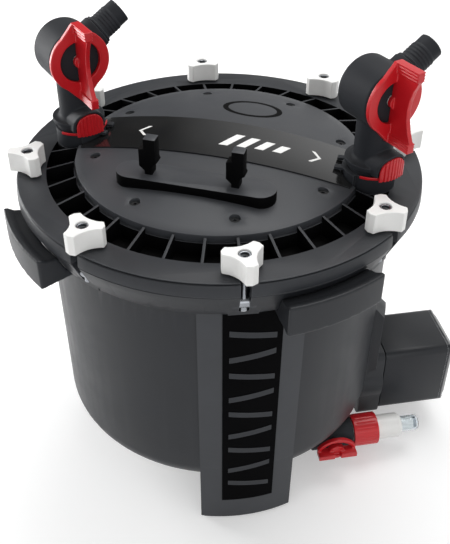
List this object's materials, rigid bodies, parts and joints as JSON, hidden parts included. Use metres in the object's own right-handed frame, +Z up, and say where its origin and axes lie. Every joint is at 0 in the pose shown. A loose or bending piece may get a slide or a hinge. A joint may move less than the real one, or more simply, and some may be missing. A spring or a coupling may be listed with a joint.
{
  "type": "canister filter",
  "caption": "Canister filter for ponds and aquariums: round bucket, lid held by knobs, hose valves with levers, media baskets, side pump and purge valve.",
  "frame": {"origin": "on the floor under the bucket's axis, in the plane of the three feet", "axes": "+Z up along the bucket's axis, -Y towards the front, +X towards the outlet valve"},
  "size_m": [0.4187, 0.3612, 0.4384],
  "materials": {
    "charcoal_plastic": "fine satin texture, charcoal",
    "lid_plastic": "satin, dark grey",
    "black_plastic": "plain black moulding",
    "gloss_black": "smooth and shiny",
    "valve_plastic": "satin, mid grey",
    "white_plastic": "smooth white",
    "red_plastic": "smooth red",
    "steel": "turned",
    "bronze": "sintered",
    "rubber_black": "soft black",
    "foam": "open-cell filter foam",
    "media": "ceramic rings, as one filled volume",
    "copper": "wound coil and laminated core",
    "magnet": "ferrite",
    "clear_plastic": "clear soft plastic"
  },
  "bodies": {
    "canister": {"canister_shell": "charcoal_plastic", "grip_lugs": "charcoal_plastic", "leg_columns": "charcoal_plastic", "foot_pads": "rubber_black", "barrel_nuts": "steel", "lid_studs": "steel", "front_strip": "gloss_black", "motor_housing": "charcoal_plastic", "motor_end_cap": "lid_plastic", "motor_screws": "steel", "cable_gland": "black_plastic", "stator_core": "copper", "rotor_can": "black_plastic", "impeller_shaft": "steel", "shaft_bushes": "bronze", "impeller_cover": "black_plastic", "riser_tube": "black_plastic", "canister_seals": "rubber_black", "purge_pipe": "black_plastic", "purge_valve_body": "black_plastic", "purge_nozzle": "white_plastic"},
    "impeller": {"impeller_wheel": "white_plastic", "rotor_magnet": "magnet"},
    "purge_tap": {"purge_knob": "red_plastic", "purge_ball": "white_plastic"},
    "purge_nut": {"purge_lock_nut": "red_plastic"},
    "purge_stopper": {"purge_cap": "clear_plastic"},
    "basket_stack": {"basket_lower": "black_plastic", "basket_middle": "black_plastic", "basket_upper": "black_plastic", "foam_inserts": "foam", "media_fill": "media", "basket_cover": "black_plastic", "lift_handles": "red_plastic"},
    "lid": {"lid_shell": "lid_plastic", "lid_cover": "lid_plastic", "lid_band": "gloss_black", "cover_screws": "black_plastic", "hook_bracket": "lid_plastic", "lid_seal": "rubber_black", "inlet_port": "black_plastic", "outlet_port": "black_plastic"},
    "inlet_valve": {"inlet_valve_body": "valve_plastic", "inlet_nozzle": "valve_plastic"},
    "inlet_handle": {"inlet_lever": "red_plastic", "inlet_ball": "white_plastic"},
    "inlet_latch": {"inlet_tab": "red_plastic"},
    "outlet_valve": {"outlet_valve_body": "valve_plastic", "outlet_nozzle": "valve_plastic"},
    "outlet_handle": {"outlet_lever": "red_plastic", "outlet_ball": "white_plastic"},
    "outlet_latch": {"outlet_tab": "red_plastic"},
    "lid_knob_1": {"knob_1": "white_plastic"},
    "lid_knob_2": {"knob_2": "white_plastic"},
    "lid_knob_3": {"knob_3": "white_plastic"},
    "lid_knob_4": {"knob_4": "white_plastic"},
    "lid_knob_5": {"knob_5": "white_plastic"},
    "lid_knob_6": {"knob_6": "white_plastic"},
    "lid_knob_7": {"knob_7": "white_plastic"},
    "lid_knob_8": {"knob_8": "white_plastic"}
  },
  "joints": [
    {"name": "lid_lift", "type": "slide", "parent": "canister", "child": "lid", "axis": [0, 0, 1], "range_m": [0, 0.5]},
    {"name": "basket_lift", "type": "slide", "parent": "canister", "child": "basket_stack", "axis": [0, 0, 1], "range_m": [0, 0.25]},
    {"name": "impeller_spin", "type": "hinge", "parent": "canister", "child": "impeller", "pos_m": [0.1506, 0.0334, 0.071], "axis": [0.8988, 0.4384, 0], "continuous": true},
    {"name": "purge_knob_turn", "type": "hinge", "parent": "canister", "child": "purge_tap", "pos_m": [0.13063, -0.04199, 0.035], "axis": [0.4384, -0.8988, 0], "range_deg": [0, 90]},
    {"name": "purge_nut_turn", "type": "hinge", "parent": "canister", "child": "purge_nut", "pos_m": [0.16208, -0.02664, 0.035], "axis": [0.8988, 0.4384, 0], "range_deg": [0, 360]},
    {"name": "purge_cap_pull", "type": "slide", "parent": "canister", "child": "purge_stopper", "axis": [0.8988, 0.4384, 0], "range_m": [0, 0.03]},
    {"name": "inlet_valve_lift", "type": "slide", "parent": "lid", "child": "inlet_valve", "axis": [0, 0, 1], "range_m": [0, 0.06]},
    {"name": "inlet_lever_turn", "type": "hinge", "parent": "inlet_valve", "child": "inlet_handle", "pos_m": [-0.1346, 0, 0.3986], "axis": [0.7373, -0.6756, 0], "range_deg": [0, 90]},
    {"name": "inlet_tab_press", "type": "slide", "parent": "inlet_valve", "child": "inlet_latch", "axis": [-0.7373, 0.6756, 0], "range_m": [0, 0.0025], "stiffness_N_per_m": 400},
    {"name": "outlet_valve_lift", "type": "slide", "parent": "lid", "child": "outlet_valve", "axis": [0, 0, 1], "range_m": [0, 0.06]},
    {"name": "outlet_lever_turn", "type": "hinge", "parent": "outlet_valve", "child": "outlet_handle", "pos_m": [0.1346, 0, 0.3986], "axis": [0.7373, -0.6756, 0], "range_deg": [0, 90]},
    {"name": "outlet_tab_press", "type": "slide", "parent": "outlet_valve", "child": "outlet_latch", "axis": [-0.7373, 0.6756, 0], "range_m": [0, 0.0025], "stiffness_N_per_m": 400},
    {"name": "knob_1_turn", "type": "hinge", "parent": "lid", "child": "lid_knob_1", "pos_m": [0.15521, 0.06429, 0.326], "axis": [0, 0, 1], "range_deg": [0, 1440]},
    {"name": "knob_2_turn", "type": "hinge", "parent": "lid", "child": "lid_knob_2", "pos_m": [0.06429, 0.15521, 0.326], "axis": [0, 0, 1], "range_deg": [0, 1440]},
    {"name": "knob_3_turn", "type": "hinge", "parent": "lid", "child": "lid_knob_3", "pos_m": [-0.06429, 0.15521, 0.326], "axis": [0, 0, 1], "range_deg": [0, 1440]},
    {"name": "knob_4_turn", "type": "hinge", "parent": "lid", "child": "lid_knob_4", "pos_m": [-0.15521, 0.06429, 0.326], "axis": [0, 0, 1], "range_deg": [0, 1440]},
    {"name": "knob_5_turn", "type": "hinge", "parent": "lid", "child": "lid_knob_5", "pos_m": [-0.15521, -0.06429, 0.326], "axis": [0, 0, 1], "range_deg": [0, 1440]},
    {"name": "knob_6_turn", "type": "hinge", "parent": "lid", "child": "lid_knob_6", "pos_m": [-0.06429, -0.15521, 0.326], "axis": [0, 0, 1], "range_deg": [0, 1440]},
    {"name": "knob_7_turn", "type": "hinge", "parent": "lid", "child": "lid_knob_7", "pos_m": [0.06429, -0.15521, 0.326], "axis": [0, 0, 1], "range_deg": [0, 1440]},
    {"name": "knob_8_turn", "type": "hinge", "parent": "lid", "child": "lid_knob_8", "pos_m": [0.15521, -0.06429, 0.326], "axis": [0, 0, 1], "range_deg": [0, 1440]}
  ],
  "couplings": [
    {"joint": "basket_lift", "follows": "lid_lift", "ratio": 0.5}
  ]
}
